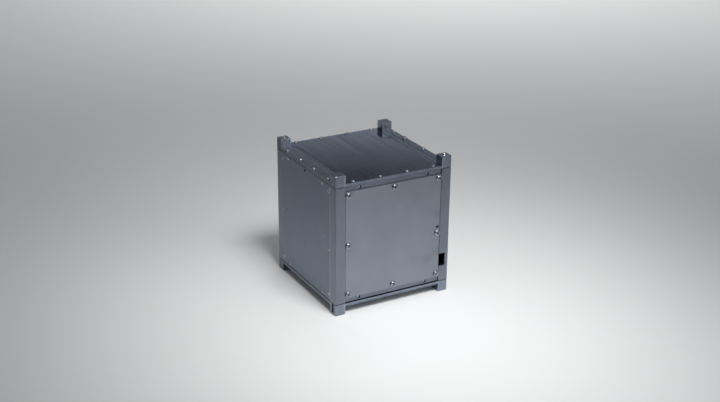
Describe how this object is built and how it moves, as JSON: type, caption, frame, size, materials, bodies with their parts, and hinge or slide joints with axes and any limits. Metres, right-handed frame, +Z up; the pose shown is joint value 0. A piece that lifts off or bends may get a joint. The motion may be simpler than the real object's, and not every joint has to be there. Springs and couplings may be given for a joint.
{
  "type": "cube satellite",
  "caption": "Small cube satellite: aluminium box on four square corner rails with feet, flush and raised side panels, service window and spring plungers.",
  "frame": {"origin": "under the middle of the body, in the plane of the four feet", "axes": "+Z up, -Y the front face with the raised cover and service window, +X to its right"},
  "size_m": [0.1, 0.1004, 0.1148],
  "materials": {
    "end_frame": "milled, satin",
    "rail": "hard anodised, satin",
    "deck": "brushed along Y",
    "panel": "satin",
    "cover": "satin",
    "spring_steel": "bright turned",
    "switch": "bright",
    "boards": "dark laminate"
  },
  "bodies": {
    "satellite": {"frame_top": "end_frame", "frame_bottom": "end_frame", "deck_top": "deck", "deck_bottom": "deck", "rail_front_left": "rail", "rail_front_right": "rail", "rail_back_left": "rail", "rail_back_right": "rail", "panel_front": "panel", "panel_back": "panel", "panel_left": "panel", "panel_right": "panel", "cover_front": "cover", "cover_back": "cover", "spring_body_left": "spring_steel", "spring_body_right": "spring_steel", "switch_front": "switch", "switch_back": "switch", "board_stack": "boards"},
    "nose_left": {"spring_nose_left": "spring_steel"},
    "nose_right": {"spring_nose_right": "spring_steel"}
  },
  "joints": [
    {"name": "spring_left", "type": "slide", "parent": "satellite", "child": "nose_left", "axis": [0, 0, 1], "range_m": [-0.00127, 0], "stiffness_N_per_m": 2000, "springref_m": 0.0005},
    {"name": "spring_right", "type": "slide", "parent": "satellite", "child": "nose_right", "axis": [0, 0, 1], "range_m": [-0.00127, 0], "stiffness_N_per_m": 2000, "springref_m": 0.0005}
  ]
}
